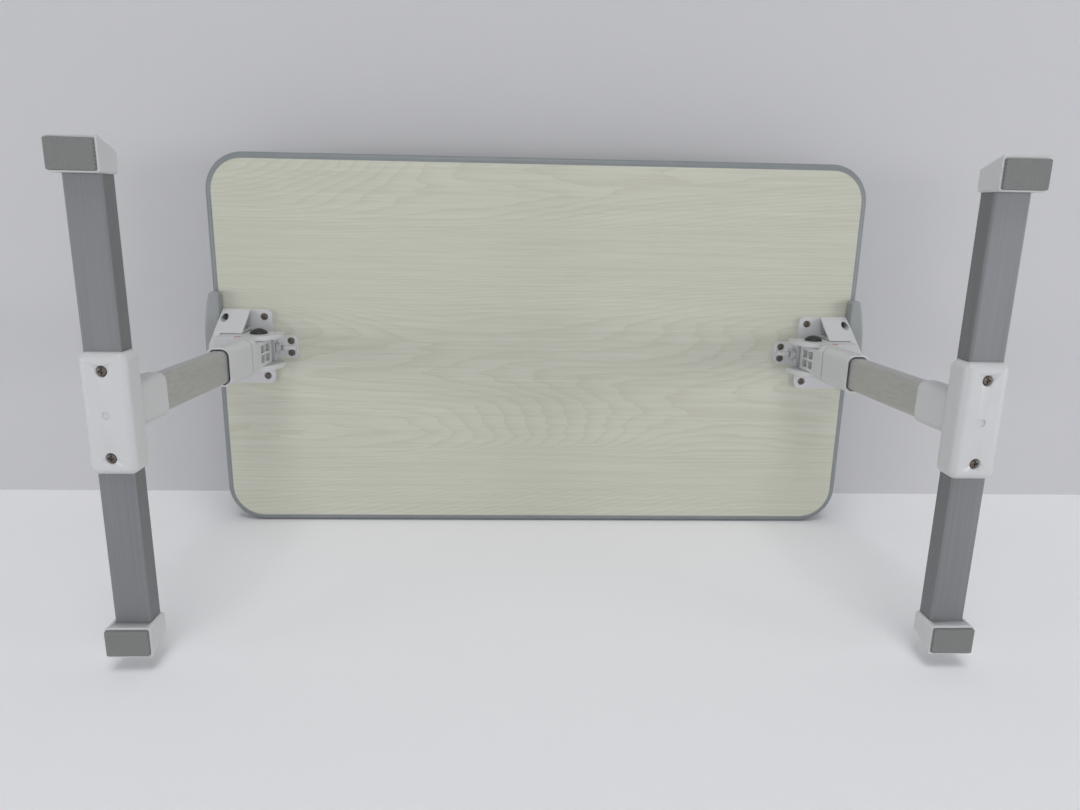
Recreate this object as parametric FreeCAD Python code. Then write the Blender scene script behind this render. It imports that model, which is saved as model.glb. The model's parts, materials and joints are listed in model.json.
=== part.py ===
"""Bed tray table: a rounded board on two folding, tilting legs with long foot bars.

Millimetres. X runs along the board, Y from the user's edge to the rear edge, Z up from the floor.
The origin is on the floor under the board's centre. Depths are measured down from the board's underside.
"""
import FreeCAD, Part
import math
import os
from FreeCAD import Vector

# board
BOARD_LENGTH = 520.0
BOARD_WIDTH = 300.0
BOARD_THICKNESS = 15.0
BOARD_CORNER_RADIUS = 30.0
UNDERSIDE_HEIGHT = 230.0
LAMINATE_THICKNESS = 0.8
BAND_WIDTH = 5.0
BAND_ROUNDING = 4.0
BAND_BARB_DEPTH = 5.0
BAND_BARB_THICKNESS = 2.4

# places along X: the fold pin from the board's end, and the rest from the fold pin
BRACKET_INSET = 41.5
PLATE_INNER_REACH = 5.2
PLATE_OUTER_REACH = 33.0
TONGUE_REACH = 24.7
INNER_LUG_REACH = 12.5
OUTER_LUG_REACH = 26.7
COVER_INNER_REACH = 11.5
EAR_TIP_REACH = 17.0
EAR_BELLY_REACH = 11.5
EAR_HEEL_REACH = 1.5
FLAG_REACH = 10.2

# base plate of a bracket, screwed under the board
PLATE_WIDTH = 60.0
PLATE_THICKNESS = 3.0
PLATE_CORNER_RADIUS = 5.0
TONGUE_WIDTH = 18.0
TONGUE_CORNER_RADIUS = 4.0
RIB_WIDTH = 2.6
RIB_HEIGHT = 6.0
RIB_INSET = 1.0
COVER_GAP = 0.4
COVER_FOOT_DEPTH = 3.2
COVER_SLOPE = 1.48
COVER_DEPTH = 38.0
COVER_FRONT_Y = -4.4
COVER_WALL = 1.8
COVER_HOLLOW = 9.0
WING_GAP = 1.7

# bracket screws
SCREW_INSET_INNER = 6.2
SCREW_INSET_OUTER = 4.0
SCREW_PITCH_Y = 48.0
TONGUE_SCREW_PITCH = 9.6
TONGUE_SCREW_INSET = 5.7
SCREW_HEAD_RADIUS = 2.4
SCREW_HEAD_HEIGHT = 1.6
SCREW_HEAD_ROUNDING = 0.7
SCREW_SEAT_DEPTH = 1.4
SCREW_SHANK_RADIUS = 1.6
SCREW_GRIP = 9.0
SCREW_ACCESS_RADIUS = 2.9
CROSS_WIDTH = 0.9
CROSS_LENGTH = 3.3
CROSS_DEPTH = 1.0

# tilt hinge
TILT_DEPTH = 8.0
TILT_ROD_RADIUS = 2.0
TILT_TRAVEL = 36.0
ROD_PROUD = 1.5
LUG_THICKNESS = 3.2
LUG_RADIUS = 4.2
CARRIER_GAP = 0.5
CARRIER_TOP_GAP = 0.3
CARRIER_WIDTH = 27.0
CARRIER_SHOULDER_DEPTH = 12.0
CARRIER_DEPTH = 44.0
CARRIER_FLARE = 1.2
CARRIER_FLARE_DEPTH = 20.0
EAR_TIP_DEPTH = 14.0
EAR_BELLY_DEPTH = 32.0
EAR_HEEL_DEPTH = 40.5
FLAG_WIDTH = 4.4
FLAG_DEPTH = 41.0
FLAG_HEIGHT = 1.5
FLAG_INSET = 2.0
FLAG_PROUD = 0.25

# fold hinge
FOLD_DEPTH = 22.0
FOLD_PIN_RADIUS = 2.5
KNUCKLE_THICKNESS = 17.0
KNUCKLE_WIDTH = 19.0
SIDE_CLEARANCE = 0.4
STOP_CLEARANCE = 0.3
HEAD_CLEARANCE = 0.6
RUNNING_CLEARANCE = 0.05
POCKET_START = 2.0
POCKET_LENGTH = 7.2
POCKET_WIDTH = 5.8
POCKET_RIB = 1.7
POCKET_DEPTH = 5.0

# fold button
BUTTON_RADIUS = 6.6
BUTTON_RIM = 1.0
BUTTON_DOME = 3.0
BUTTON_SEAT = 0.3
BUTTON_TRAVEL = 1.5
BUTTON_CLEARANCE = 0.3
BUTTON_CAVITY_RADIUS = 4.3
BUTTON_CAVITY_DEPTH = 2.4
BUTTON_SPRING_RADIUS = 3.9
SPRING_WALL = 0.6
SPRING_CLEARANCE = 0.2

# release paddle beside the board's edge
PADDLE_GAP = 0.5
PADDLE_TOP_DEPTH = 1.2
PADDLE_BOTTOM_DEPTH = 10.5
PADDLE_REAR_Y = 43.8
PADDLE_FRONT_Y = -26.0
PADDLE_REACH = 13.0
PADDLE_REAR_REACH = 7.4
PADDLE_CORNER_RADIUS = 3.2
PADDLE_ROUNDING = 2.0
PADDLE_TAB_GAP = 0.3
PADDLE_TAB_THICKNESS = 3.0
PADDLE_TAB_LENGTH = 11.0
PADDLE_JOIN = 2.5
PADDLE_TAB_Y = (-25.0, -17.5)
PEG_Y = -9.0
PEG_DEPTH = 12.6
PEG_RADIUS = 1.5
PEG_SHORT = 0.35
PEG_HOLE_CLEARANCE = 0.2
PEG_HOLE_DEPTH = 4.0
PEG_ARM_WIDTH = 5.0
PEG_ARM_THICKNESS = 2.6
PADDLE_SPRING_Y = 17.4
PADDLE_SPRING_DEPTH = 5.5
PADDLE_SPRING_RADIUS = 1.6
PADDLE_SPRING_LENGTH = 8.5

# leg
SPLAY = 5.5
TUBE_THICKNESS = 12.5
TUBE_WIDTH = 23.0
TUBE_CORNER_RADIUS = 4.0
TUBE_WALL = 1.4
SLEEVE_THICKNESS = 17.0
SLEEVE_WIDTH = 27.5
SLEEVE_CORNER_RADIUS = 5.5
SLEEVE_START = 34.6
SLEEVE_LENGTH = 35.2
SLEEVE_MOUTH_GAP = 1.0
SLEEVE_MOUTH_DEPTH = 5.0
COLLAR_START = 25.6
NECK_END = 33.5
SPIGOT_LENGTH = 22.0
SPIGOT_CLEARANCE = 0.1
SLEEVE_SCREW_DISTANCE = 46.0
SLEEVE_SCREW_RADIUS = 1.5
SLEEVE_SCREW_HEAD_RADIUS = 3.0
SLEEVE_SCREW_HEAD_HEIGHT = 1.2
SLEEVE_SCREW_LENGTH = 8.0

# foot, with its heights measured up from the floor
BAR_SHIFT = -0.2
TEE_SHIFT = -0.9
CAP_SHIFT = 0.4
TEE_WIDTH = 25.2
TEE_LENGTH = 66.8
TEE_BOTTOM_HEIGHT = 4.0
TEE_THICKNESS = 19.0
TEE_ROUNDING = 4.5
SOCKET_THICKNESS = 16.0
SOCKET_WIDTH = 26.5
SOCKET_CORNER_RADIUS = 5.5
SOCKET_LENGTH = 32.2
TUBE_END_INSET = 0.5
TEE_SCREW_PITCH = 47.4
TEE_SCREW_HEAD_RADIUS = 2.5
TEE_SCREW_HEAD_HEIGHT = 1.7
TEE_SCREW_SEAT = 2.2
TEE_SCREW_SEAT_RADIUS = 3.2
TEE_SCREW_RADIUS = 1.5
TEE_SCREW_LENGTH = 7.5
TEE_DIMPLE_RADIUS = 2.2
TEE_DIMPLE_DEPTH = 0.6
BAR_WIDTH = 20.0
BAR_THICKNESS = 13.5
BAR_CORNER_RADIUS = 1.6
BAR_WALL = 1.2
BAR_BOTTOM_HEIGHT = 8.8
FOOT_LENGTH = 282.0
CAP_WIDTH = 25.4
CAP_LENGTH = 18.2
CAP_HEIGHT = 20.5
CAP_BOTTOM_HEIGHT = 2.2
CAP_SLANT = 6.0
CAP_LEDGE = 3.0
CAP_ROUNDING = 2.0
CAP_SOLE_ROUNDING = 0.7
CAP_END_WALL = 2.0
PAD_WIDTH = 23.6
PAD_LENGTH = 15.2
PAD_END_RIM = 2.0
PAD_CORNER_RADIUS = 0.8
PAD_RECESS = 1.0

# places that follow from the sizes above
FOLD_X = BOARD_LENGTH / 2 - BRACKET_INSET
PLATE_INNER_X = FOLD_X - PLATE_INNER_REACH
PLATE_OUTER_X = FOLD_X + PLATE_OUTER_REACH
TONGUE_INNER_X = FOLD_X - TONGUE_REACH
INNER_LUG_X = FOLD_X - INNER_LUG_REACH
OUTER_LUG_X = FOLD_X + OUTER_LUG_REACH
COVER_INNER_X = FOLD_X + COVER_INNER_REACH
WING_INNER_X = OUTER_LUG_X - CARRIER_GAP + WING_GAP
PLATE_Y = PLATE_WIDTH / 2
CARRIER_Y = CARRIER_WIDTH / 2
CARRIER_INNER_X = INNER_LUG_X + LUG_THICKNESS + CARRIER_GAP
CARRIER_OUTER_X = OUTER_LUG_X - CARRIER_GAP
KNUCKLE_Y = KNUCKLE_WIDTH / 2
CAVITY_Y = KNUCKLE_Y + SIDE_CLEARANCE
KNUCKLE_X = KNUCKLE_THICKNESS / 2
PADDLE_INNER_X = PLATE_OUTER_X + PADDLE_GAP
COVER_FACE_Y = CARRIER_Y + COVER_GAP
TEE_BOTTOM_DEPTH = UNDERSIDE_HEIGHT - TEE_BOTTOM_HEIGHT
TEE_TOP_DEPTH = TEE_BOTTOM_DEPTH - TEE_THICKNESS
TUBE_END_DEPTH = TEE_TOP_DEPTH - TUBE_END_INSET
BAR_BOTTOM_DEPTH = UNDERSIDE_HEIGHT - BAR_BOTTOM_HEIGHT
CAP_BOTTOM_DEPTH = UNDERSIDE_HEIGHT - CAP_BOTTOM_HEIGHT
CAP_TOP_DEPTH = CAP_BOTTOM_DEPTH - CAP_HEIGHT
BAR_MIDDLE_DEPTH = BAR_BOTTOM_DEPTH - BAR_THICKNESS / 2
FOOT_X = FOLD_X + (BAR_MIDDLE_DEPTH - FOLD_DEPTH) * math.tan(math.radians(SPLAY)) + BAR_SHIFT
TEE_X = FOOT_X + TEE_SHIFT
CAP_X = FOOT_X + CAP_SHIFT
UP = Vector(0, 0, 1)


def height(depth):
    return UNDERSIDE_HEIGHT - depth


def block(x, y, depth):
    """A box between two X, two Y and two depths below the underside."""
    corner = Vector(x[0], y[0], height(depth[1]))
    return Part.makeBox(x[1] - x[0], y[1] - y[0], depth[1] - depth[0], corner)


def edges_along(shape, axis):
    """The straight edges that run along an axis."""
    found = []
    for edge in shape.Edges:
        if isinstance(edge.Curve, Part.Line):
            if abs(abs(edge.tangentAt(edge.FirstParameter).dot(axis)) - 1) < 1e-6:
                found.append(edge)
    return found


def rounded(shape, radius, axis):
    return shape.makeFillet(radius, edges_along(shape, axis))


def rounded_prism(length, width, radius, bottom, top, centre_x=0.0):
    """An upright prism with rounded corners, between two heights, centred on Y 0."""
    corner = Vector(centre_x - length / 2, -width / 2, bottom)
    return rounded(Part.makeBox(length, width, top - bottom, corner), radius, UP)


def prism(points, axis, start, end):
    """A polygon extruded along X or Y. Its points are (Y, depth) or (X, depth)."""
    if axis == "X":
        corners = [Vector(start, p[0], height(p[1])) for p in points]
        sweep = Vector(end - start, 0, 0)
    else:
        corners = [Vector(p[0], start, height(p[1])) for p in points]
        sweep = Vector(0, end - start, 0)
    return Part.Face(Part.makePolygon(corners + corners[:1])).extrude(sweep)


def rod_x(radius, start, end, y, depth):
    return Part.makeCylinder(radius, end - start, Vector(start, y, height(depth)), Vector(1, 0, 0))


def rod_y(radius, start, end, x, depth):
    return Part.makeCylinder(radius, end - start, Vector(x, start, height(depth)), Vector(0, 1, 0))


def rod_z(radius, x, y, top_depth, bottom_depth):
    return Part.makeCylinder(radius, bottom_depth - top_depth, Vector(x, y, height(bottom_depth)))


def along_leg(shape):
    """Carries a shape from the leg's own frame (pin at the origin, leg down -Z) to its place."""
    placed = shape.copy()
    placed.rotate(Vector(0, 0, 0), Vector(0, 1, 0), -SPLAY)
    placed.translate(Vector(FOLD_X, 0, height(FOLD_DEPTH)))
    return placed


def leg_prism(thickness, width, radius, start, end):
    """A rounded prism along the leg, between two distances from the fold pin."""
    return rounded_prism(thickness, width, radius, -end, -start)


def mirrored(shape):
    return shape.mirror(Vector(0, 0, 0), Vector(1, 0, 0))


# board -------------------------------------------------------------------------------------------

def board_prism(inset, bottom, top):
    radius = BOARD_CORNER_RADIUS - inset
    return rounded_prism(BOARD_LENGTH - 2 * inset, BOARD_WIDTH - 2 * inset, radius, bottom, top)


def band_barb():
    middle = UNDERSIDE_HEIGHT + BOARD_THICKNESS / 2
    low = middle - BAND_BARB_THICKNESS / 2
    high = middle + BAND_BARB_THICKNESS / 2
    outer = board_prism(BAND_WIDTH, low, high)
    return outer.cut(board_prism(BAND_WIDTH + BAND_BARB_DEPTH, low, high))


def edge_band():
    top = UNDERSIDE_HEIGHT + BOARD_THICKNESS
    outside = board_prism(0, UNDERSIDE_HEIGHT, top)
    rims = []
    for edge in outside.Edges:
        box = edge.BoundBox
        if box.ZLength < 1e-6:
            rims.append(edge)
    outside = outside.makeFillet(BAND_ROUNDING, rims)
    return outside.cut(board_prism(BAND_WIDTH, UNDERSIDE_HEIGHT, top)).fuse(band_barb())


def bracket_screw_places():
    """X and Y of the six screws of the bracket on the +X side."""
    inner = PLATE_INNER_X + SCREW_INSET_INNER
    outer = PLATE_OUTER_X - SCREW_INSET_OUTER
    places = []
    for x in (inner, outer):
        for side in (-1, 1):
            places.append((x, side * SCREW_PITCH_Y / 2))
    for side in (-1, 1):
        places.append((TONGUE_INNER_X + TONGUE_SCREW_INSET, side * TONGUE_SCREW_PITCH / 2))
    return places


def bracket_screw_holes(radius):
    """Upright holes for both brackets' screws, from the plate's face to the screws' ends."""
    holes = []
    for x, y in bracket_screw_places():
        for side in (-1, 1):
            holes.append(rod_z(radius, side * x, y, -SCREW_GRIP, PLATE_THICKNESS))
    return Part.makeCompound(holes)


def board_core():
    bottom = UNDERSIDE_HEIGHT + LAMINATE_THICKNESS
    top = UNDERSIDE_HEIGHT + BOARD_THICKNESS - LAMINATE_THICKNESS
    core = board_prism(BAND_WIDTH, bottom, top).cut(band_barb())
    return core.cut(bracket_screw_holes(SCREW_SHANK_RADIUS))


def underside_laminate():
    sheet = board_prism(BAND_WIDTH, UNDERSIDE_HEIGHT, UNDERSIDE_HEIGHT + LAMINATE_THICKNESS)
    return sheet.cut(bracket_screw_holes(SCREW_SHANK_RADIUS))


def top_laminate():
    top = UNDERSIDE_HEIGHT + BOARD_THICKNESS
    return board_prism(BAND_WIDTH, top - LAMINATE_THICKNESS, top)


# bracket, modelled on the +X side ------------------------------------------------------------------

def cross_recess(x, y, face_depth, depth):
    """A cross-head driver recess that opens downwards."""
    spans = (CROSS_LENGTH / 2, CROSS_WIDTH / 2)
    top = face_depth - depth
    bars = []
    for long_x, long_y in (spans, spans[::-1]):
        bars.append(block((x - long_x, x + long_x), (y - long_y, y + long_y), (top, face_depth)))
    return bars[0].fuse(bars[1])


def pan_head(radius, x, y, seat_depth, head_height):
    """A low screw head with a rounded rim, standing down from its seat."""
    head = rod_z(radius, x, y, seat_depth, seat_depth + head_height)
    rim = [edge for edge in head.Edges if edge.BoundBox.ZMax < height(seat_depth) - head_height / 2]
    head = head.makeFillet(SCREW_HEAD_ROUNDING, rim)
    return head.cut(cross_recess(x, y, seat_depth + head_height, CROSS_DEPTH))


def bracket_screws():
    screws = []
    for x, y in bracket_screw_places():
        shank = rod_z(SCREW_SHANK_RADIUS, x, y, -SCREW_GRIP, SCREW_SEAT_DEPTH)
        screw = shank.fuse(pan_head(SCREW_HEAD_RADIUS, x, y, SCREW_SEAT_DEPTH, SCREW_HEAD_HEIGHT))
        screws.append(screw)
        screws.append(mirrored(screw))
    return Part.makeCompound(screws)


def ramp_section(wall, x, start_y):
    """A ramp seen along X, from the plate's rear edge down to the cover's full depth."""
    full_y = PLATE_Y - (COVER_DEPTH - COVER_FOOT_DEPTH) / COVER_SLOPE
    section = [
        (PLATE_Y - wall, 0),
        (PLATE_Y - wall, COVER_FOOT_DEPTH),
        (full_y - wall, COVER_DEPTH),
        (COVER_FRONT_Y, COVER_DEPTH),
        (COVER_FRONT_Y, 0),
    ]
    kept = block(x, (start_y, PLATE_Y), (0, COVER_DEPTH))
    return prism(section, "X", x[0], x[1]).common(kept)


def cover():
    """The sloping cover on the plate's outer rear corner, with a wing beside the carrier."""
    body = ramp_section(0, (COVER_INNER_X, PLATE_OUTER_X), COVER_FACE_Y)
    body = body.fuse(ramp_section(0, (WING_INNER_X, PLATE_OUTER_X), COVER_FRONT_Y))
    hollow_x = (COVER_INNER_X, COVER_INNER_X + COVER_HOLLOW)
    hollow = ramp_section(COVER_WALL, hollow_x, COVER_FACE_Y + COVER_WALL)
    hollow = hollow.common(block(hollow_x, (COVER_FACE_Y, PLATE_Y), (PLATE_THICKNESS, COVER_DEPTH)))
    x, y = bracket_screw_places()[3]
    access = rod_z(SCREW_ACCESS_RADIUS, x, y, SCREW_SEAT_DEPTH, COVER_DEPTH)
    bore = PADDLE_SPRING_RADIUS + SPRING_CLEARANCE
    spring = rod_x(bore, paddle_spring_start(), PLATE_OUTER_X, PADDLE_SPRING_Y, PADDLE_SPRING_DEPTH)
    return body.cut([hollow, access, spring]).removeSplitter()


def lug(x):
    """A round-nosed bearing for the tilt rod."""
    upright = block((x, x + LUG_THICKNESS), (-LUG_RADIUS, LUG_RADIUS), (0, TILT_DEPTH))
    return upright.fuse(rod_x(LUG_RADIUS, x, x + LUG_THICKNESS, 0, TILT_DEPTH))


def base_plate():
    length = PLATE_OUTER_X - PLATE_INNER_X
    middle = (PLATE_OUTER_X + PLATE_INNER_X) / 2
    plate = rounded_prism(length, PLATE_WIDTH, PLATE_CORNER_RADIUS, height(PLATE_THICKNESS),
                          UNDERSIDE_HEIGHT, middle)
    tongue_length = PLATE_INNER_X + PLATE_CORNER_RADIUS - TONGUE_INNER_X
    tongue_middle = TONGUE_INNER_X + tongue_length / 2
    tongue = rounded_prism(tongue_length, TONGUE_WIDTH, TONGUE_CORNER_RADIUS, height(PLATE_THICKNESS),
                           UNDERSIDE_HEIGHT, tongue_middle)
    bridge = block((PLATE_INNER_X - TONGUE_CORNER_RADIUS, PLATE_INNER_X + PLATE_CORNER_RADIUS),
                   (-TONGUE_WIDTH / 2, TONGUE_WIDTH / 2), (0, PLATE_THICKNESS))
    rib = block((TONGUE_INNER_X + RIB_INSET, INNER_LUG_X), (-RIB_WIDTH / 2, RIB_WIDTH / 2),
                (0, PLATE_THICKNESS + RIB_HEIGHT))
    plate = plate.fuse([tongue, bridge, rib, lug(INNER_LUG_X), lug(OUTER_LUG_X), cover()])
    plate = plate.cut(rod_x(TILT_ROD_RADIUS, rod_ends()[0], rod_ends()[1], 0, TILT_DEPTH))
    for x, y in bracket_screw_places():
        plate = plate.cut(rod_z(SCREW_SHANK_RADIUS, x, y, 0, PLATE_THICKNESS))
        plate = plate.cut(rod_z(SCREW_ACCESS_RADIUS, x, y, SCREW_SEAT_DEPTH, PLATE_THICKNESS))
    return plate.removeSplitter()


def rod_ends():
    return (INNER_LUG_X - ROD_PROUD, OUTER_LUG_X + LUG_THICKNESS + ROD_PROUD)


def tilt_rod():
    start, end = rod_ends()
    return rod_x(TILT_ROD_RADIUS, start, end, 0, TILT_DEPTH)


def carrier_section():
    """The carrier seen along X, with shoulders that clear the plate through the whole tilt."""
    top = PLATE_THICKNESS + CARRIER_TOP_GAP
    crown = TILT_DEPTH - top
    half = [
        (crown * 0.35, top),
        (crown * 0.78, TILT_DEPTH - crown * 0.6),
        (8.2, TILT_DEPTH),
        (CARRIER_Y, CARRIER_SHOULDER_DEPTH),
        (CARRIER_Y, CARRIER_DEPTH),
    ]
    other = [(-y, depth) for y, depth in reversed(half)]
    return prism(half + other, "X", FOLD_X - EAR_TIP_REACH, CARRIER_OUTER_X + CARRIER_FLARE)


def carrier_profile():
    """The carrier seen along Y: leaf-shaped ears that grow out of an outer block."""
    def at(x, depth):
        return Vector(x, -CARRIER_Y, height(depth))
    tip = at(FOLD_X - EAR_TIP_REACH, EAR_TIP_DEPTH)
    heel = at(FOLD_X - EAR_HEEL_REACH, EAR_HEEL_DEPTH)
    belly = at(FOLD_X - EAR_BELLY_REACH, EAR_BELLY_DEPTH)
    corners = [
        heel,
        at(FOLD_X + KNUCKLE_X - 1, CARRIER_DEPTH),
        at(CARRIER_OUTER_X + CARRIER_FLARE, CARRIER_DEPTH),
        at(CARRIER_OUTER_X, CARRIER_FLARE_DEPTH),
        at(CARRIER_OUTER_X, 0),
        at(CARRIER_INNER_X, 0),
        at(CARRIER_INNER_X, TILT_DEPTH + 1),
        tip,
    ]
    edges = [Part.Arc(tip, belly, heel).toShape()]
    for start, end in zip(corners[:-1], corners[1:]):
        edges.append(Part.LineSegment(start, end).toShape())
    return Part.Face(Part.Wire(edges)).extrude(Vector(0, CARRIER_WIDTH, 0))


def knuckle_cavity():
    """The room between the ears that the knuckle turns in."""
    head = KNUCKLE_X + HEAD_CLEARANCE
    turning = rod_y(head, -CAVITY_Y, CAVITY_Y, FOLD_X, FOLD_DEPTH)
    standing = Part.makeBox(KNUCKLE_X + STOP_CLEARANCE + 60, 2 * CAVITY_Y, 60, Vector(-60, -CAVITY_Y, -60))
    folded = block((FOLD_X - 60, FOLD_X), (-CAVITY_Y, CAVITY_Y), (FOLD_DEPTH - head, FOLD_DEPTH + 60))
    mouth = block((FOLD_X - 60, CARRIER_INNER_X), (-CAVITY_Y, CAVITY_Y), (0, FOLD_DEPTH))
    return turning.fuse([along_leg(standing), folded, mouth])


def peg_holes():
    """Blind holes in the carrier's outer face, one for each tilt position."""
    arm_y = PEG_Y
    arm_depth = PEG_DEPTH - TILT_DEPTH
    radius = PEG_RADIUS + PEG_HOLE_CLEARANCE
    holes = []
    for angle in (0.0, TILT_TRAVEL / 2, TILT_TRAVEL):
        turn = math.radians(angle)
        y = arm_y * math.cos(turn) + arm_depth * math.sin(turn)
        depth = TILT_DEPTH - arm_y * math.sin(turn) + arm_depth * math.cos(turn)
        holes.append(rod_x(radius, CARRIER_OUTER_X - PEG_HOLE_DEPTH, CARRIER_OUTER_X, y, depth))
    return holes


def flag_block(inset, proud):
    middle = FOLD_X + FLAG_REACH
    x = (middle - FLAG_WIDTH / 2, middle + FLAG_WIDTH / 2)
    depth = (FLAG_DEPTH - FLAG_HEIGHT / 2, FLAG_DEPTH + FLAG_HEIGHT / 2)
    return block(x, (CARRIER_Y - inset, CARRIER_Y + proud), depth)


def button_bore_floor():
    return CARRIER_Y - BUTTON_SEAT - BUTTON_TRAVEL - RUNNING_CLEARANCE


def tilt_carrier():
    carrier = carrier_section().common(carrier_profile())
    carrier = carrier.cut(knuckle_cavity())
    start, end = rod_ends()
    bore = rod_x(TILT_ROD_RADIUS + RUNNING_CLEARANCE, start, end, 0, TILT_DEPTH)
    pin_bore = rod_y(FOLD_PIN_RADIUS, -CARRIER_Y, CARRIER_Y, FOLD_X, FOLD_DEPTH)
    bore_radius = BUTTON_RADIUS + BUTTON_CLEARANCE
    button_bore = rod_y(bore_radius, button_bore_floor(), CARRIER_Y, FOLD_X, FOLD_DEPTH)
    carrier = carrier.cut([bore, pin_bore, button_bore, flag_block(FLAG_INSET, 0)] + peg_holes())
    return carrier.removeSplitter()


def lock_flag():
    return flag_block(FLAG_INSET, FLAG_PROUD)


def fold_pin():
    return rod_y(FOLD_PIN_RADIUS, -CARRIER_Y, button_bore_floor(), FOLD_X, FOLD_DEPTH)


def fold_button():
    """A domed button in the rear ear, hollow for its spring."""
    base = CARRIER_Y - BUTTON_SEAT
    rim = rod_y(BUTTON_RADIUS, base, base + BUTTON_RIM + BUTTON_SEAT, FOLD_X, FOLD_DEPTH)
    ball_radius = (BUTTON_RADIUS ** 2 + BUTTON_DOME ** 2) / (2 * BUTTON_DOME)
    rim_end = base + BUTTON_RIM + BUTTON_SEAT
    centre = Vector(FOLD_X, rim_end + BUTTON_DOME - ball_radius, height(FOLD_DEPTH))
    ball = Part.makeSphere(ball_radius, centre)
    dome = ball.common(rod_y(BUTTON_RADIUS, rim_end, rim_end + BUTTON_DOME, FOLD_X, FOLD_DEPTH))
    cavity = rod_y(BUTTON_CAVITY_RADIUS, base, base + BUTTON_CAVITY_DEPTH, FOLD_X, FOLD_DEPTH)
    return rim.fuse(dome).cut(cavity)


def button_spring():
    start = button_bore_floor()
    end = CARRIER_Y - BUTTON_SEAT + BUTTON_CAVITY_DEPTH
    outside = rod_y(BUTTON_SPRING_RADIUS, start, end, FOLD_X, FOLD_DEPTH)
    return outside.cut(rod_y(BUTTON_SPRING_RADIUS - SPRING_WALL, start, end, FOLD_X, FOLD_DEPTH))


def paddle_body():
    """The paddle's plate: a shallow arc beyond the plate's end, with rounded corners."""
    z = height(PADDLE_BOTTOM_DEPTH)
    arc_drop = PADDLE_REACH - PADDLE_REAR_REACH
    front_reach = PADDLE_REACH - arc_drop * (PADDLE_FRONT_Y / PADDLE_REAR_Y) ** 2
    rear_outer = Vector(PADDLE_INNER_X + PADDLE_REAR_REACH, PADDLE_REAR_Y, z)
    apex = Vector(PADDLE_INNER_X + PADDLE_REACH, 0, z)
    front_outer = Vector(PADDLE_INNER_X + front_reach, PADDLE_FRONT_Y, z)
    corners = [
        rear_outer,
        Vector(PADDLE_INNER_X, PADDLE_REAR_Y, z),
        Vector(PADDLE_INNER_X, PADDLE_FRONT_Y, z),
        front_outer,
    ]
    edges = [Part.Arc(front_outer, apex, rear_outer).toShape()]
    for start, end in zip(corners[:-1], corners[1:]):
        edges.append(Part.LineSegment(start, end).toShape())
    plate = Part.Face(Part.Wire(edges)).extrude(Vector(0, 0, PADDLE_BOTTOM_DEPTH - PADDLE_TOP_DEPTH))
    plate = plate.makeFillet(PADDLE_CORNER_RADIUS, edges_along(plate, UP))
    rim = [edge for edge in plate.Edges if edge.BoundBox.ZMax < z + 0.01]
    return plate.makeFillet(PADDLE_ROUNDING, rim)


def tilt_paddle():
    """A finger paddle with a guide tab on the plate and a peg towards the carrier."""
    tab_top = PLATE_THICKNESS + PADDLE_TAB_GAP
    tab_end = PADDLE_INNER_X + PADDLE_JOIN
    tab_x = (PADDLE_INNER_X - PADDLE_TAB_LENGTH, tab_end)
    tab = block(tab_x, PADDLE_TAB_Y, (tab_top, tab_top + PADDLE_TAB_THICKNESS))
    arm_y = (PEG_Y - PEG_ARM_WIDTH / 2, PEG_Y + PEG_ARM_WIDTH / 2)
    arm_start = PADDLE_INNER_X - PEG_ARM_THICKNESS
    arm = block((arm_start, tab_end), arm_y, (tab_top, PEG_DEPTH + PEG_ARM_WIDTH / 2))
    peg = rod_x(PEG_RADIUS, CARRIER_OUTER_X + PEG_SHORT, arm_start, PEG_Y, PEG_DEPTH)
    return paddle_body().fuse([tab, arm, peg]).removeSplitter()


def paddle_spring_start():
    return PADDLE_INNER_X - PADDLE_SPRING_LENGTH


def paddle_spring():
    """A pull-back spring from the cover's pocket to the paddle's inner edge."""
    start = paddle_spring_start()
    outside = rod_x(PADDLE_SPRING_RADIUS, start, PADDLE_INNER_X, PADDLE_SPRING_Y, PADDLE_SPRING_DEPTH)
    hollow = PADDLE_SPRING_RADIUS - SPRING_WALL
    return outside.cut(rod_x(hollow, start, PADDLE_INNER_X, PADDLE_SPRING_Y, PADDLE_SPRING_DEPTH))


# leg, in its own frame until it is placed ----------------------------------------------------------

def knuckle():
    head = Part.makeCylinder(KNUCKLE_X, KNUCKLE_WIDTH, Vector(0, -KNUCKLE_Y, 0), Vector(0, 1, 0))
    neck = Part.makeBox(KNUCKLE_THICKNESS, KNUCKLE_WIDTH, NECK_END, Vector(-KNUCKLE_X, -KNUCKLE_Y, -NECK_END))
    wall = 2 * (TUBE_WALL + SPIGOT_CLEARANCE)
    spigot_radius = TUBE_CORNER_RADIUS - TUBE_WALL
    spigot = leg_prism(TUBE_THICKNESS - wall, TUBE_WIDTH - wall, spigot_radius, NECK_END - 1,
                       NECK_END + SPIGOT_LENGTH)
    collar = leg_prism(SLEEVE_THICKNESS, SLEEVE_WIDTH, SLEEVE_CORNER_RADIUS, COLLAR_START, NECK_END)
    body = head.fuse([neck, spigot, collar])
    bore = Part.makeCylinder(FOLD_PIN_RADIUS + RUNNING_CLEARANCE, KNUCKLE_WIDTH,
                             Vector(0, -KNUCKLE_Y, 0), Vector(0, 1, 0))
    body = body.cut(bore)
    for column in (0, 1):
        far = POCKET_START + column * (POCKET_LENGTH + POCKET_RIB) + POCKET_LENGTH
        for y in (-POCKET_RIB / 2 - POCKET_WIDTH, POCKET_RIB / 2):
            corner = Vector(-KNUCKLE_X, y, -far)
            body = body.cut(Part.makeBox(POCKET_DEPTH, POCKET_WIDTH, POCKET_LENGTH, corner))
    body = body.cut(sleeve_screw_shank())
    return along_leg(body.removeSplitter())


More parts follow.
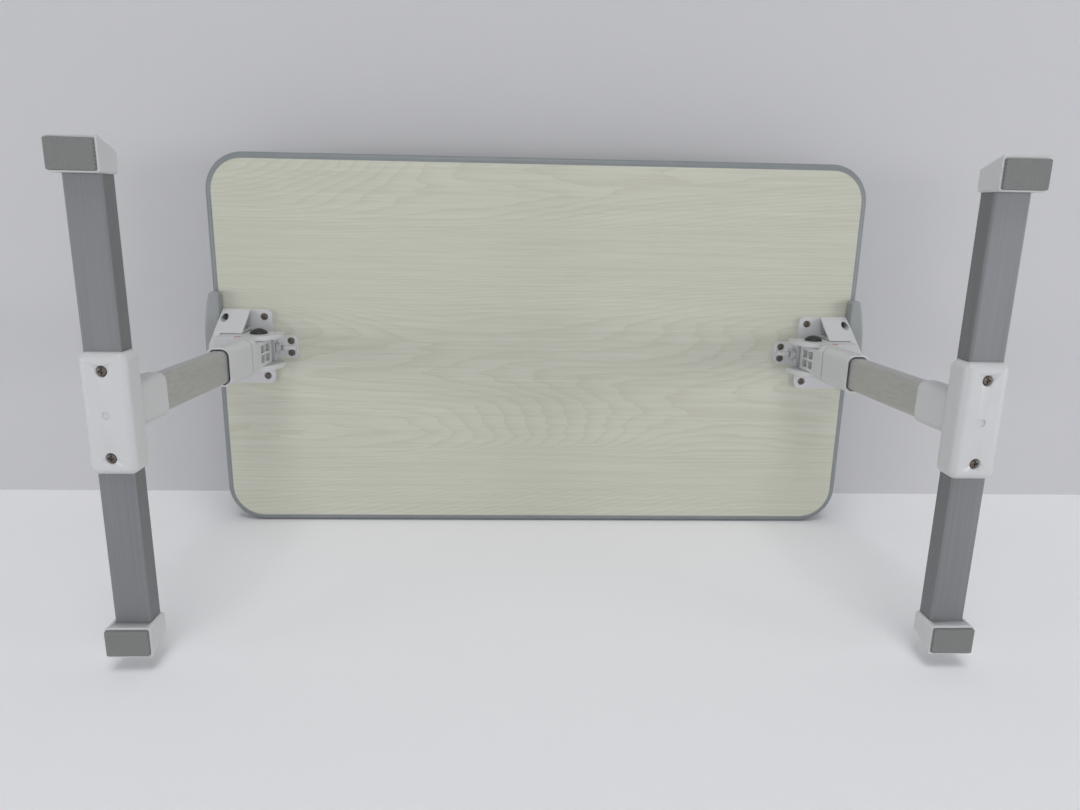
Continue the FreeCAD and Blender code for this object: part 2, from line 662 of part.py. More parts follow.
def sleeve_screw_shank():
    start = SLEEVE_THICKNESS / 2 - SLEEVE_SCREW_LENGTH
    return Part.makeCylinder(SLEEVE_SCREW_RADIUS, SLEEVE_SCREW_LENGTH,
                             Vector(start, 0, -SLEEVE_SCREW_DISTANCE), Vector(1, 0, 0))


def sleeve_screw():
    head = Part.makeCylinder(SLEEVE_SCREW_HEAD_RADIUS, SLEEVE_SCREW_HEAD_HEIGHT,
                             Vector(SLEEVE_THICKNESS / 2, 0, -SLEEVE_SCREW_DISTANCE), Vector(1, 0, 0))
    return along_leg(sleeve_screw_shank().fuse(head))


def leg_sleeve():
    end = SLEEVE_START + SLEEVE_LENGTH
    body = leg_prism(SLEEVE_THICKNESS, SLEEVE_WIDTH, SLEEVE_CORNER_RADIUS, SLEEVE_START, end)
    body = body.cut(leg_prism(TUBE_THICKNESS, TUBE_WIDTH, TUBE_CORNER_RADIUS, SLEEVE_START, end))
    gap = 2 * SLEEVE_MOUTH_GAP
    mouth = leg_prism(TUBE_THICKNESS + gap, TUBE_WIDTH + gap, TUBE_CORNER_RADIUS + SLEEVE_MOUTH_GAP,
                      end - SLEEVE_MOUTH_DEPTH, end)
    return along_leg(body.cut(mouth).cut(sleeve_screw_shank()))


def tube_end():
    """The tube's lower end, as a distance from the fold pin along the leg."""
    return (TUBE_END_DEPTH - FOLD_DEPTH) / math.cos(math.radians(SPLAY))


def leg_tube():
    body = leg_prism(TUBE_THICKNESS, TUBE_WIDTH, TUBE_CORNER_RADIUS, SLEEVE_START, tube_end())
    inside = leg_prism(TUBE_THICKNESS - 2 * TUBE_WALL, TUBE_WIDTH - 2 * TUBE_WALL,
                       TUBE_CORNER_RADIUS - TUBE_WALL, SLEEVE_START, tube_end())
    return along_leg(body.cut(inside).cut(sleeve_screw_shank()))


# foot ----------------------------------------------------------------------------------------------

def bar_prism(inset, start, end):
    """The foot bar's section, drawn in by an inset, extruded along Y."""
    width = BAR_WIDTH - 2 * inset
    thickness = BAR_THICKNESS - 2 * inset
    corner = Vector(FOOT_X - width / 2, start, height(BAR_BOTTOM_DEPTH - inset))
    solid = Part.makeBox(width, end - start, thickness, corner)
    return rounded(solid, BAR_CORNER_RADIUS - inset, Vector(0, 1, 0))


def tee_screw_shanks():
    shanks = []
    seat = TEE_BOTTOM_DEPTH - TEE_SCREW_SEAT
    for side in (-1, 1):
        y = side * TEE_SCREW_PITCH / 2
        shanks.append(rod_z(TEE_SCREW_RADIUS, TEE_X, y, seat - TEE_SCREW_LENGTH, seat))
    return shanks


def tee_screw_seats():
    seats = []
    seat = TEE_BOTTOM_DEPTH - TEE_SCREW_SEAT
    for side in (-1, 1):
        y = side * TEE_SCREW_PITCH / 2
        seats.append(rod_z(TEE_SCREW_SEAT_RADIUS, TEE_X, y, seat, TEE_BOTTOM_DEPTH))
    return seats


def tee_block():
    corner = Vector(TEE_X - TEE_WIDTH / 2, -TEE_LENGTH / 2, height(TEE_BOTTOM_DEPTH))
    body = Part.makeBox(TEE_WIDTH, TEE_LENGTH, TEE_BOTTOM_DEPTH - TEE_TOP_DEPTH, corner)
    body = body.makeFillet(TEE_ROUNDING, body.Edges)
    start = tube_end() - SOCKET_LENGTH
    socket = leg_prism(SOCKET_THICKNESS, SOCKET_WIDTH, SOCKET_CORNER_RADIUS, start, tube_end() + 1)
    body = body.fuse(along_leg(socket))
    bore = along_leg(leg_prism(TUBE_THICKNESS, TUBE_WIDTH, TUBE_CORNER_RADIUS, start, tube_end()))
    channel = bar_prism(0, -TEE_LENGTH / 2, TEE_LENGTH / 2)
    dimple = rod_z(TEE_DIMPLE_RADIUS, TEE_X, 0, TEE_BOTTOM_DEPTH - TEE_DIMPLE_DEPTH, TEE_BOTTOM_DEPTH)
    return body.cut([bore, channel, dimple] + tee_screw_shanks() + tee_screw_seats()).removeSplitter()


def tee_screws():
    screws = []
    seat = TEE_BOTTOM_DEPTH - TEE_SCREW_SEAT
    for side, shank in zip((-1, 1), tee_screw_shanks()):
        y = side * TEE_SCREW_PITCH / 2
        head = pan_head(TEE_SCREW_HEAD_RADIUS, TEE_X, y, seat, TEE_SCREW_HEAD_HEIGHT)
        screws.append(shank.fuse(head))
    return Part.makeCompound(screws)


def bar_half():
    return FOOT_LENGTH / 2 - CAP_SLANT - CAP_END_WALL


def foot_bar():
    outside = bar_prism(0, -bar_half(), bar_half())
    return outside.cut([bar_prism(BAR_WALL, -bar_half(), bar_half())] + tee_screw_shanks())


def pad_prism(top_depth, bottom_depth, middle_y):
    corner = Vector(CAP_X - PAD_WIDTH / 2, middle_y - PAD_LENGTH / 2, height(bottom_depth))
    solid = Part.makeBox(PAD_WIDTH, PAD_LENGTH, bottom_depth - top_depth, corner)
    return rounded(solid, PAD_CORNER_RADIUS, UP)


def rear_pad_y():
    return FOOT_LENGTH / 2 - PAD_END_RIM - PAD_LENGTH / 2


def rear_cap():
    """A hollow end cap with a slanted end over a sole ledge."""
    outer = FOOT_LENGTH / 2
    inner = outer - CAP_LENGTH
    profile = [
        (inner, CAP_TOP_DEPTH),
        (outer - CAP_SLANT, CAP_TOP_DEPTH),
        (outer, CAP_BOTTOM_DEPTH - CAP_LEDGE),
        (outer, CAP_BOTTOM_DEPTH),
        (inner, CAP_BOTTOM_DEPTH),
    ]
    body = prism(profile, "X", CAP_X - CAP_WIDTH / 2, CAP_X + CAP_WIDTH / 2)
    upper = [edge for edge in body.Edges if edge.BoundBox.ZMax > height(CAP_TOP_DEPTH) - 1]
    body = body.makeFillet(CAP_ROUNDING, upper)
    sole = [edge for edge in body.Edges if edge.BoundBox.ZMax < height(CAP_BOTTOM_DEPTH) + 0.01]
    body = body.makeFillet(CAP_SOLE_ROUNDING, sole)
    body = body.cut(bar_prism(0, inner, bar_half()))
    return body.cut(pad_prism(CAP_BOTTOM_DEPTH - PAD_RECESS, CAP_BOTTOM_DEPTH, rear_pad_y()))


def rear_pad():
    return pad_prism(CAP_BOTTOM_DEPTH - PAD_RECESS, UNDERSIDE_HEIGHT, rear_pad_y())


def front(shape):
    return shape.mirror(Vector(0, 0, 0), Vector(0, 1, 0))


# all pieces ----------------------------------------------------------------------------------------

SIDE_PIECES = {
    "base_plate": base_plate(),
    "tilt_rod": tilt_rod(),
    "tilt_carrier": tilt_carrier(),
    "lock_flag": lock_flag(),
    "tilt_paddle": tilt_paddle(),
    "paddle_spring": paddle_spring(),
    "fold_pin": fold_pin(),
    "fold_button": fold_button(),
    "button_spring": button_spring(),
    "knuckle": knuckle(),
    "leg_sleeve": leg_sleeve(),
    "sleeve_screw": sleeve_screw(),
    "leg_tube": leg_tube(),
    "tee_block": tee_block(),
    "tee_screws": tee_screws(),
    "foot_bar": foot_bar(),
    "rear_cap": rear_cap(),
    "rear_pad": rear_pad(),
    "front_cap": front(rear_cap()),
    "front_pad": front(rear_pad()),
}

PIECES = {
    "board_core": board_core(),
    "top_laminate": top_laminate(),
    "underside_laminate": underside_laminate(),
    "edge_band": edge_band(),
    "bracket_screws": bracket_screws(),
}

for name, shape in SIDE_PIECES.items():
    PIECES["right_" + name] = shape
    PIECES["left_" + name] = mirrored(shape)

os.makedirs("parts", exist_ok=True)
for name, shape in PIECES.items():
    shape.exportStep("parts/" + name + ".step")
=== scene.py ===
# %% [markdown]
# # A bed tray table, seen from below
#
# The table is a rounded, wood-grained board on two folding legs. Its exact solids were modelled in CAD,
# and this notebook gives them the looks of the real thing: printed maple laminate, extruded grey edging,
# moulded white plastic, brushed aluminium and ribbed rubber pads.
#
# The first step loads the solids as a fixed frame. Every length in Blender is in metres.

# %% Load the frame
import bpy
import json
import math
from mathutils import Matrix, Vector


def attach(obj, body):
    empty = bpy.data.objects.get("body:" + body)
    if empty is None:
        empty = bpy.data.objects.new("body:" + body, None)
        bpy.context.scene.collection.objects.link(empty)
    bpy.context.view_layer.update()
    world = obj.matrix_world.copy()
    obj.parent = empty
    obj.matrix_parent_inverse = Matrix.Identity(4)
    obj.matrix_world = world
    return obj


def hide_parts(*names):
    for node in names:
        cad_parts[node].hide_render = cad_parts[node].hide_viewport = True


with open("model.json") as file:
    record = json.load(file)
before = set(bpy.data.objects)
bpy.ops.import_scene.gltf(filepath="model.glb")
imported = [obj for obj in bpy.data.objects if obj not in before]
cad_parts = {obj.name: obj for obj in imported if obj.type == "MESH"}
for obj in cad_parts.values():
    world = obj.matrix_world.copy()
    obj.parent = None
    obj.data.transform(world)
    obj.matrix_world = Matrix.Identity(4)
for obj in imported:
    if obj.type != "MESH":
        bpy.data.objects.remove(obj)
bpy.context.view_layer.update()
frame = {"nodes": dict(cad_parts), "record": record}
nodes = frame["nodes"]
bodies = frame["record"]["behaviour"]["bodies"]
body_of_node = {node: body for body, members in bodies.items() for node in members}
mm = 0.001

# %% [markdown]
# ## The camera
#
# The photograph was taken from below and slightly above the middle of the board, which stands on its long
# edge. A phone camera has a wide lens, about 26 mm on a 36 mm sensor. We place the camera where the
# photographer stood, aim it at a point of the underside, and roll it by the degree that the picture leans.
# Building the rotation from its three axes keeps the roll exact, which a tracking constraint wouldn't.

# %% Camera
camera_place = Vector((24.7, 106.9, -401.4)) * mm
camera_target = Vector((-1.9, -47.1, 230.0)) * mm
camera_roll = math.radians(1.10)
camera_lens = 26.0  # in millimetres, as lenses are marked
camera_sensor = 36.0

camera_data = bpy.data.cameras.new("photo_camera")
camera_data.lens = camera_lens
camera_data.sensor_width = camera_sensor
camera_data.clip_start = 10 * mm
camera = bpy.data.objects.new("photo_camera", camera_data)
bpy.context.collection.objects.link(camera)
bpy.context.scene.camera = camera

backward = (camera_place - camera_target).normalized()
level_right = Vector((0, 1, 0)).cross(backward).normalized()
level_up = backward.cross(level_right)
axes = Matrix((level_right, level_up, backward)).transposed().to_4x4()
camera.matrix_world = Matrix.Translation(camera_place) @ axes @ Matrix.Rotation(camera_roll, 4, "Z")
print("camera looks along", [round(v, 3) for v in -backward])

# %% [markdown]
# ## Small helpers
#
# Blender's operators act on whatever is selected, and the loaded solids start out selected. So each step
# first clears the selection and then picks only what it is about to change.

# %% Selection helpers
def pick(piece):
    """Makes one object the only selected and active one."""
    if bpy.context.mode != "OBJECT":
        bpy.ops.object.mode_set(mode="OBJECT")
    bpy.ops.object.select_all(action="DESELECT")
    piece.select_set(True)
    bpy.context.view_layer.objects.active = piece


def settle(piece):
    """Applies place, turn and scale, so that the finished piece's place is in its mesh."""
    pick(piece)
    bpy.ops.object.transform_apply(location=True, rotation=True, scale=True)


def apply_modifiers(piece):
    """Makes every modifier's result the mesh itself."""
    pick(piece)
    for modifier in list(piece.modifiers):
        bpy.ops.object.modifier_apply(modifier=modifier.name)


# %% [markdown]
# ## Floor and backdrop
#
# The board stands on its long edge on a pale floor, with a pale wall just behind it. Both are only a stage,
# made of two planes. Their paint turns clear when it is seen from behind, so that the object can be looked
# at from every side, and the back of the wall never hides the tabletop.

# %% Stage
floor_level = -150.3 * mm
wall_place = 302.0 * mm
stage_reach = 3.0
floor_colour = (0.90, 0.90, 0.92)
wall_colour = (0.55, 0.55, 0.57)
paint_roughness = 0.9
paint_shine = 0.1


def one_sided(name, colour):
    """A matt paint that shows only from the front."""
    material = bpy.data.materials.new(name)
    material.use_nodes = True
    tree = material.node_tree
    shader = tree.nodes["Principled BSDF"]
    shader.inputs["Base Color"].default_value = (*colour, 1)
    shader.inputs["Roughness"].default_value = paint_roughness
    shader.inputs["Specular IOR Level"].default_value = paint_shine
    clear = tree.nodes.new("ShaderNodeBsdfTransparent")
    mix = tree.nodes.new("ShaderNodeMixShader")
    geometry = tree.nodes.new("ShaderNodeNewGeometry")
    tree.links.new(geometry.outputs["Backfacing"], mix.inputs["Fac"])
    tree.links.new(shader.outputs["BSDF"], mix.inputs[1])
    tree.links.new(clear.outputs["BSDF"], mix.inputs[2])
    tree.links.new(mix.outputs["Shader"], tree.nodes["Material Output"].inputs["Surface"])
    return material


def stage_plane(name, centre, width, depth, turn, colour):
    """A plane of the stage, turned about X so that its face looks at the object."""
    bpy.ops.object.select_all(action="DESELECT")
    bpy.ops.mesh.primitive_plane_add(size=1, location=centre, rotation=(turn, 0, 0))
    plane = bpy.context.object
    plane.name = name
    plane.scale = (width, depth, 1)
    settle(plane)
    plane.data.materials.append(one_sided(name + "_paint", colour))


stage_width = 2 * stage_reach
floor_depth = wall_place + stage_reach
floor_centre = (0, floor_level, wall_place - floor_depth / 2)
stage_plane("stage_floor", floor_centre, stage_width, floor_depth, math.radians(-90), floor_colour)
wall_centre = (0, floor_level + stage_reach / 2, wall_place)
stage_plane("stage_wall", wall_centre, stage_width, stage_reach, math.radians(180), wall_colour)
print("floor at", round(floor_level, 4), "m, wall at", round(wall_place, 4), "m")

# %% [markdown]
# ## Light
#
# The light in the photograph is soft and comes from all around, so most of it is the world's. A large lamp
# high above brightens the floor, two lamps low at the sides give the sides of the legs and foot bars their
# tone, and a weak one fills the front. A last lamp lights the tabletop, for looks from behind. The world is
# pale where it is seen, and dimmer where it lights.

# %% Lamps and world
def soft_lamp(name, place, target, size, power):
    """A round lamp that faces its target. Size is in metres, and power in watts."""
    data = bpy.data.lights.new(name, "AREA")
    data.shape = "DISK"
    data.size = size
    data.energy = power
    lamp = bpy.data.objects.new(name, data)
    bpy.context.collection.objects.link(lamp)
    lamp.location = place
    aim = Vector(target) - Vector(place)
    lamp.rotation_euler = aim.to_track_quat("-Z", "Y").to_euler()


# name, place, target, size, power
lamps = [
    ("high_light", (0.0, 4.0, -1.6), (0, 0, 0.15), 2.4, 62),
    ("left_fill", (1.8, -0.05, -1.0), (0, 0, 0.2), 1.0, 14),
    ("right_fill", (-1.8, -0.05, -1.0), (0, 0, 0.2), 1.0, 18),
    ("front_fill", (0.0, -0.05, -1.6), (0, -0.1, 0.2), 1.0, 5),
    ("top_fill", (0.4, -0.6, 2.4), (0, 0, 0.2), 1.8, 22),
]
for lamp_values in lamps:
    soft_lamp(*lamp_values)

seen_colour = (0.62, 0.62, 0.65)
light_colour = (0.95, 0.97, 1.0)
light_strength = 0.33

world = bpy.data.worlds.new("pale_studio")
bpy.context.scene.world = world
world.use_nodes = True
world_tree = world.node_tree
seen = world_tree.nodes["Background"]
seen.inputs["Color"].default_value = (*seen_colour, 1)
lighting = world_tree.nodes.new("ShaderNodeBackground")
lighting.inputs["Color"].default_value = (*light_colour, 1)
lighting.inputs["Strength"].default_value = light_strength
light_path = world_tree.nodes.new("ShaderNodeLightPath")
world_mix = world_tree.nodes.new("ShaderNodeMixShader")
world_tree.links.new(light_path.outputs["Is Camera Ray"], world_mix.inputs["Fac"])
world_tree.links.new(lighting.outputs["Background"], world_mix.inputs[1])
world_tree.links.new(seen.outputs["Background"], world_mix.inputs[2])
world_tree.links.new(world_mix.outputs["Shader"], world_tree.nodes["World Output"].inputs["Surface"])
bpy.context.scene.view_settings.view_transform = "Standard"
print(len(lamps), "lamps and a world of strength", light_strength)

# %% [markdown]
# ## Writing materials
#
# Every finish starts from the Principled shader. Short helpers keep the recipes readable. One makes the
# material, and one adds a node, sets its sockets and links it. The others wrap the few nodes that the
# finishes share: a noise, a colour ramp, a step of arithmetic, a bump and a range of roughness.

# %% Material helpers
def new_material(name, colour, roughness, metallic=0.0, specular=0.5):
    material = bpy.data.materials.new(name)
    material.use_nodes = True
    shader = material.node_tree.nodes["Principled BSDF"]
    shader.inputs["Base Color"].default_value = (*colour, 1)
    shader.inputs["Roughness"].default_value = roughness
    shader.inputs["Metallic"].default_value = metallic
    shader.inputs["Specular IOR Level"].default_value = specular
    return material


def add_node(material, kind, values=None, links=None, settings=None):
    """Adds a node, sets its sockets by name and links others, given as (node, output)."""
    tree = material.node_tree
    node = tree.nodes.new(kind)
    for key, value in (settings or {}).items():
        setattr(node, key, value)
    for key, value in (values or {}).items():
        node.inputs[key].default_value = value
    for key, (source, output) in (links or {}).items():
        tree.links.new(source.outputs[output], node.inputs[key])
    return node


def object_place(material, scale=(1, 1, 1), turn=(0, 0, 0)):
    """Object coordinates, stretched by a scale per axis."""
    place = add_node(material, "ShaderNodeTexCoord")
    values = {"Scale": scale, "Rotation": turn}
    return add_node(material, "ShaderNodeMapping", values, {"Vector": (place, "Object")})


def noise(material, place, scale, detail, roughness=0.5):
    values = {"Scale": scale, "Detail": detail, "Roughness": roughness}
    return add_node(material, "ShaderNodeTexNoise", values, {"Vector": (place, "Vector")})


def sum_of(material, first, first_output, factor, second, second_output):
    """first * factor + second"""
    links = {0: (first, first_output), 2: (second, second_output)}
    return add_node(material, "ShaderNodeMath", {1: factor}, links, {"operation": "MULTIPLY_ADD"})


def arithmetic(material, operation, source, output, number=None):
    """One step of arithmetic on a pattern, with a second number where the step needs one."""
    values = {} if number is None else {1: number}
    links = {0: (source, output)}
    return add_node(material, "ShaderNodeMath", values, links, {"operation": operation})


def colour_ramp(material, source, output, stops):
    """A colour ramp whose stops are (position, colour)."""
    ramp = add_node(material, "ShaderNodeValToRGB", links={"Fac": (source, output)})
    elements = ramp.color_ramp.elements
    while len(elements) < len(stops):
        elements.new(0.5)
    for element, (position, colour) in zip(elements, stops):
        element.position = position
        element.color = (*colour, 1)
    return ramp


def to_shader(material, source, output, socket):
    """Links a node's output to a socket of the Principled shader."""
    shader = material.node_tree.nodes["Principled BSDF"]
    material.node_tree.links.new(source.outputs[output], shader.inputs[socket])


def bump(material, source, output, distance, strength):
    """Lets a pattern raise the surface, by a distance in metres at the most."""
    values = {"Distance": distance, "Strength": strength}
    node = add_node(material, "ShaderNodeBump", values, {"Height": (source, output)})
    to_shader(material, node, "Normal", "Normal")


def roughness_range(material, source, output, low, high):
    """Lets a pattern move the roughness between two values."""
    values = {"To Min": low, "To Max": high}
    node = add_node(material, "ShaderNodeMapRange", values, {"Value": (source, output)})
    to_shader(material, node, "Result", "Roughness")


# %% [markdown]
# ## Maple laminate
#
# The board's underside is a printed maple pattern. Its growth rings are fine lines, a few millimetres
# apart, that run along the board and rise here and there into the long low arches that a flat-sawn plank
# shows. A slow noise, stretched along X and tilted across the board, stands for the height of the plank's
# rings, and its contour lines are the rings. Two finer noises add the short pores and the faint streaks
# between the lines. All of it is only a shade or two darker than the pale ground.

# %% Laminate material
ring_wander = 0.035  # share of the small noise, which bends the rings a little
ring_slope = 1.9  # rise of the height field across the board, per metre
rings_per_rise = 95.0  # rings that the field crosses where it rises by one
line_power = 3.0  # a higher power makes the dark lines narrower
pore_share = 0.45
ring_share = 0.30
pore_depth = 0.02 * mm


def ring_lines(material):
    """Contour lines of a slow height field, drawn as narrow dark lines between wide pale bands."""
    field_place = object_place(material, (1.1, 5.5, 1.0))
    field = noise(material, field_place, 1.3, 1.5, 0.4)
    wander_place = object_place(material, (5.0, 40.0, 1.0))
    wander = noise(material, wander_place, 1.0, 3.0, 0.55)
    height = sum_of(material, wander, "Fac", ring_wander, field, "Fac")
    place = object_place(material)
    slope = add_node(material, "ShaderNodeSeparateXYZ", links={"Vector": (place, "Vector")})
    tilted = sum_of(material, slope, "Y", ring_slope, height, "Value")
    turns = arithmetic(material, "MULTIPLY", tilted, "Value", rings_per_rise)
    phase = arithmetic(material, "FRACT", turns, "Value")
    return arithmetic(material, "POWER", phase, "Value", line_power)


def maple_laminate(name, pale, deep):
    """Printed maple: rings, streaks and pores between a pale and a deep tone."""
    material = new_material(name, pale, 0.42, specular=0.35)
    rings = ring_lines(material)
    streaks = noise(material, object_place(material, (6.0, 320.0, 1.0)), 1.5, 4.0, 0.6)
    pores = noise(material, object_place(material, (60.0, 1400.0, 1.0)), 1.0, 2.0, 0.5)
    fine = sum_of(material, pores, "Fac", pore_share, streaks, "Fac")
    tone = sum_of(material, rings, "Value", ring_share, fine, "Value")
    middle = tuple((a + b) / 2 for a, b in zip(pale, deep))
    ramp = colour_ramp(material, tone, "Value", [(0.5, pale), (0.78, middle), (1.0, deep)])
    to_shader(material, ramp, "Color", "Base Color")
    roughness_range(material, streaks, "Fac", 0.38, 0.5)
    bump(material, pores, "Fac", pore_depth, 0.3)
    return material


pale_maple = (0.555, 0.565, 0.49)
deep_maple = (0.485, 0.485, 0.40)
laminate = maple_laminate("maple_laminate", pale_maple, deep_maple)
print(laminate.name, "has", len(laminate.node_tree.nodes), "nodes")

# %% [markdown]
# ## Edge band and plastics
#
# The grey edging is soft PVC, pressed round the board. The white parts are injection moulded: smooth, with
# a faint ripple where the plastic shrank, which shows only in reflections. One recipe serves them all, and
# only the colour, the roughness and the strength of the speckle change.

# %% Plastic materials
ripple_depth = 0.03 * mm
skin_share = 0.12  # the fine skin's share in the height, beside the slow ripple


def moulded_plastic(name, colour, roughness, speckle=0.02):
    """Smooth moulded plastic: a slow shrink ripple, a fine skin and a faint change of tone."""
    material = new_material(name, colour, roughness)
    place = object_place(material)
    slow = noise(material, place, 55.0, 2.0)
    fine = noise(material, place, 1500.0, 2.0)
    darker = tuple(c * (1 - speckle) for c in colour)
    ramp = colour_ramp(material, slow, "Fac", [(0.3, darker), (0.7, colour)])
    to_shader(material, ramp, "Color", "Base Color")
    roughness_range(material, fine, "Fac", roughness * 0.9, roughness * 1.12)
    skin = sum_of(material, fine, "Fac", skin_share, slow, "Fac")
    bump(material, skin, "Value", ripple_depth, 0.6)
    return material


white_plastic = moulded_plastic("white_plastic", (0.56, 0.565, 0.575), 0.36)
band_plastic = moulded_plastic("edge_band_grey", (0.21, 0.228, 0.238), 0.45, speckle=0.06)
paddle_plastic = moulded_plastic("paddle_grey", (0.275, 0.292, 0.295), 0.42)
black_plastic = moulded_plastic("button_black", (0.012, 0.012, 0.013), 0.3)
red_plastic = moulded_plastic("flag_red", (0.42, 0.11, 0.05), 0.4)
board_core_chips = moulded_plastic("pressed_chips", (0.42, 0.33, 0.22), 0.85, speckle=0.3)
print("six moulded finishes, from", white_plastic.name, "to", board_core_chips.name)

# %% [markdown]
# ## Rubber pads
#
# The pads under the feet are soft rubber with a fine diamond pattern, which keeps the table from sliding.
# Two sets of waves, turned to either side and multiplied, give the diamonds. They are too fine to be worth
# modelling, so a colour ramp paints shade into the grooves between them, and a bump raises their tips.

# %% Rubber material
rib_pitch = 1.1 * mm
rib_height = 0.25 * mm
rib_angle = 35  # degrees to either side


def ribbed_rubber(name, colour, pitch):
    """Rubber with two crossing sets of fine ribs, which make small diamonds."""
    material = new_material(name, colour, 0.8, specular=0.25)
    waves = []
    wave_scale = math.pi / (10 * pitch)  # the wave texture's bands are pi / 10 apart at scale 1
    for turn in (rib_angle, -rib_angle):
        place = object_place(material, turn=(0, 0, math.radians(turn)))
        values = {"Scale": wave_scale, "Distortion": 0.0, "Detail": 0.0}
        waves.append(add_node(material, "ShaderNodeTexWave", values, {"Vector": (place, "Vector")}))
    links = {0: (waves[0], "Fac"), 1: (waves[1], "Fac")}
    diamonds = add_node(material, "ShaderNodeMath", None, links, {"operation": "MULTIPLY"})
    # painted shade: the grooves between the diamonds are darkened, where shade would fall
    dark = tuple(c * 0.75 for c in colour)
    ramp = colour_ramp(material, diamonds, "Value", [(0.0, dark), (0.6, colour)])
    to_shader(material, ramp, "Color", "Base Color")
    bump(material, diamonds, "Value", rib_height, 0.8)
    return material


pad_rubber = ribbed_rubber("pad_rubber", (0.235, 0.245, 0.24), rib_pitch)
print(pad_rubber.name, "has ribs", round(rib_pitch / mm, 2), "mm apart")

# %% [markdown]
# ## Brushed aluminium
#
# The tubes and foot bars are anodised extrusions. The die leaves hairlines along their length, so the
# noise that breaks up roughness and colour is stretched along the tube, and the highlight is drawn out
# across it. Their skin is a dull oxide, so they are a little less metallic than the bare screws and pins.
# The foot bars are the same metal as the tubes, but their much darker grey is painted shade.

# %% Metal materials
hairline_depth = 0.03 * mm
cloud_share = 0.35  # the slow cloud's share in the roughness, beside the hairlines


def brushed_metal(name, colour, roughness, along, anisotropy=0.0, metallic=1.0):
    """Metal with hairlines along one axis."""
    material = new_material(name, colour, roughness, metallic=metallic)
    shader = material.node_tree.nodes["Principled BSDF"]
    shader.inputs["Anisotropic"].default_value = anisotropy
    stretch = {"X": (8, 900, 900), "Y": (900, 8, 900), "Z": (900, 900, 8)}[along]
    hairlines = noise(material, object_place(material, stretch), 1.0, 4.0, 0.65)
    cloud = noise(material, object_place(material), 25.0, 2.0)
    darker = tuple(c * 0.8 for c in colour)
    ramp = colour_ramp(material, hairlines, "Fac", [(0.25, darker), (0.7, colour)])
    to_shader(material, ramp, "Color", "Base Color")
    blend = sum_of(material, cloud, "Fac", cloud_share, hairlines, "Fac")
    roughness_range(material, blend, "Value", roughness * 0.75, roughness * 1.15)
    bump(material, hairlines, "Fac", hairline_depth, 0.5)
    return material


# painted shade: the foot bars' grey is the tubes' aluminium made much darker, standing in for the shade on
# their faces
shaded_bar_grey = (0.26, 0.266, 0.28)
tube_grey = (0.60, 0.60, 0.60)
bar_aluminium = brushed_metal("bar_aluminium", shaded_bar_grey, 0.62, "Y", anisotropy=0.2, metallic=0.7)
tube_aluminium = brushed_metal("tube_aluminium", tube_grey, 0.52, "Z", anisotropy=0.3, metallic=0.9)
screw_steel = brushed_metal("screw_steel", (0.19, 0.165, 0.14), 0.32, "X")
pin_steel = brushed_metal("pin_steel", (0.5, 0.5, 0.5), 0.3, "X")
print("four metals, hairlines", round(hairline_depth / mm, 3), "mm deep")

# %% [markdown]
# ## Giving the solids their finishes
#
# Each solid is named for its job, so a short table from the last part of the name to a finish is enough
# for both sides of the table.

# %% Assign finishes
finish_of = {
    "board_core": board_core_chips,
    "top_laminate": laminate,
    "underside_laminate": laminate,
    "edge_band": band_plastic,
    "bracket_screws": screw_steel,
    "base_plate": white_plastic,
    "tilt_rod": pin_steel,
    "tilt_carrier": white_plastic,
    "lock_flag": red_plastic,
    "tilt_paddle": paddle_plastic,
    "paddle_spring": pin_steel,
    "fold_pin": pin_steel,
    "fold_button": black_plastic,
    "button_spring": pin_steel,
    "knuckle": white_plastic,
    "leg_sleeve": white_plastic,
    "sleeve_screw": screw_steel,
    "leg_tube": tube_aluminium,
    "tee_block": white_plastic,
    "tee_screws": screw_steel,
    "foot_bar": bar_aluminium,
    "rear_cap": white_plastic,
    "front_cap": white_plastic,
    "rear_pad": pad_rubber,
    "front_pad": pad_rubber,
}


def finish_for(node):
    plain = node.removeprefix("left_").removeprefix("right_")
    return finish_of[plain]


def give_finish(piece, material):
    piece.data.materials.clear()
    piece.data.materials.append(material)


for node, solid in nodes.items():
    give_finish(solid, finish_for(node))
print(len(nodes), "solids have a finish")

# %% [markdown]
# ## Softened edges
#
# No moulded or cut edge is perfectly sharp, and the thin line of light along a rounded edge is what makes
# plastic look like plastic. The CAD solids keep crisp edges, so the pieces whose edges catch the light are
# copied, cleaned of the doubled corners that a solid's loose triangles have, and given a fine bevel. The T
# blocks and the end caps have their larger rounds in the solid, and a bevel would crease their long thin
# faces, so they are only shaded smoothly. On every copy the large flat faces lead the shading, so that they
# stay flat beside the rounds. Each copy stands for its solid and rides on the same body.

# %% Bevelled copies
merge_distance = 0.002 * mm
flat_angle = math.radians(0.5)  # faces that differ by less are one face
sharp_angle = math.radians(32)  # edges that turn by more get the bevel
smooth_angle = math.radians(40)  # edges that turn by less are shaded smoothly


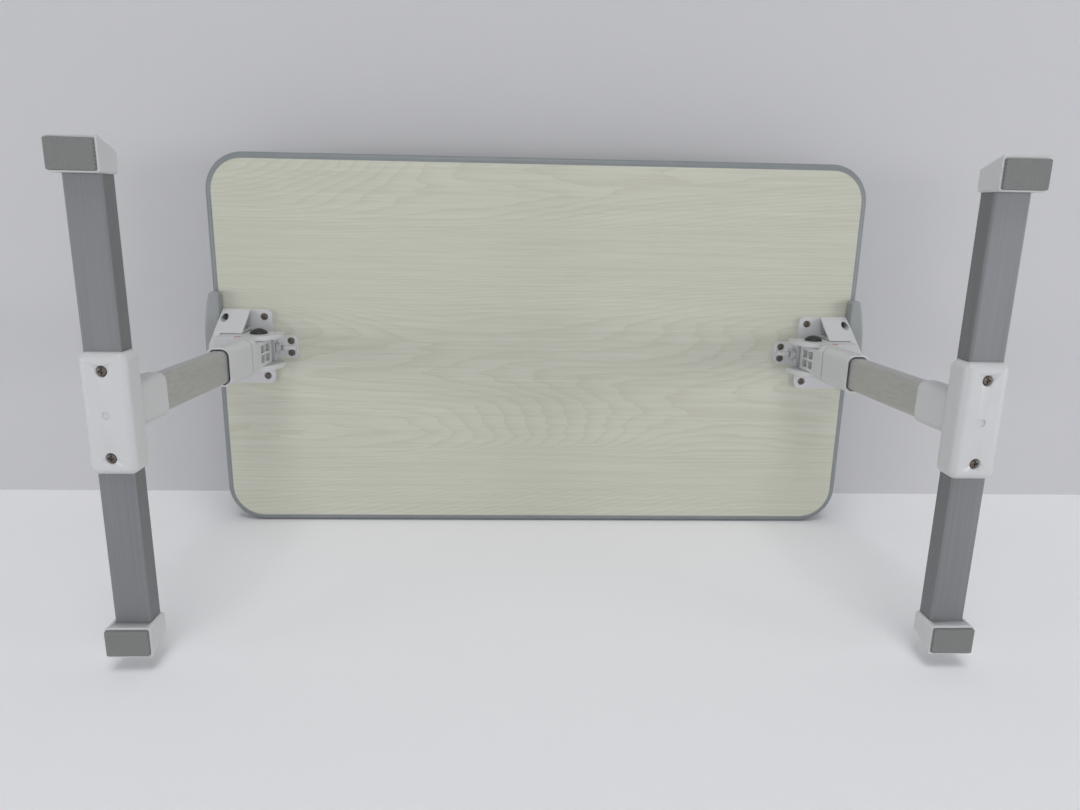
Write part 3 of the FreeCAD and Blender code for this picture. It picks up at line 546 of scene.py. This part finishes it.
def cleaned_copy(node):
    """A copy of a solid whose doubled corners are merged."""
    solid = nodes[node]
    piece = bpy.data.objects.new(node + "_soft", solid.data.copy())
    bpy.context.collection.objects.link(piece)
    pick(piece)
    bpy.ops.object.mode_set(mode="EDIT")
    bpy.ops.mesh.select_all(action="SELECT")
    bpy.ops.mesh.remove_doubles(threshold=merge_distance)
    bpy.ops.object.mode_set(mode="OBJECT")
    return piece


def bevel_sharp_edges(piece, edge):
    """Joins the triangles of each flat face, and rounds the sharp edges that are left."""
    pick(piece)
    bpy.ops.object.mode_set(mode="EDIT")
    bpy.ops.mesh.select_all(action="SELECT")
    bpy.ops.mesh.dissolve_limited(angle_limit=flat_angle)
    bpy.ops.object.mode_set(mode="OBJECT")
    bevel = piece.modifiers.new("edge_round", "BEVEL")
    bevel.width = edge
    bevel.segments = 2
    bevel.limit_method = "ANGLE"
    bevel.angle_limit = sharp_angle
    bevel.use_clamp_overlap = True
    apply_modifiers(piece)


def keep_flats_flat(piece):
    """Lets the large flat faces decide the shading where they run into rounds."""
    flats = piece.modifiers.new("flat_faces", "WEIGHTED_NORMAL")
    flats.keep_sharp = True
    apply_modifiers(piece)


def softened(node, edge):
    """A copy that stands for its solid, with a bevel where an edge width is given, and smooth rounds."""
    piece = cleaned_copy(node)
    if edge > 0:
        bevel_sharp_edges(piece, edge)
    pick(piece)
    bpy.ops.object.shade_smooth_by_angle(angle=smooth_angle)
    keep_flats_flat(piece)
    give_finish(piece, finish_for(node))
    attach(piece, body_of_node[node])
    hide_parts(node)
    return piece


# The width of each piece's bevel. 0 leaves its edges as the solid has them.
edge_of = {
    "base_plate": 0.5 * mm,
    "tilt_carrier": 0.6 * mm,
    "tilt_paddle": 0.5 * mm,
    "knuckle": 0.35 * mm,
    "leg_sleeve": 0.45 * mm,
    "tee_block": 0,
    "rear_cap": 0,
    "front_cap": 0,
    "rear_pad": 0.3 * mm,
    "front_pad": 0.3 * mm,
}

for side in ("left_", "right_"):
    for plain, edge in edge_of.items():
        soft_piece = softened(side + plain, edge)
        print(soft_piece.name, len(soft_piece.data.polygons), "faces")
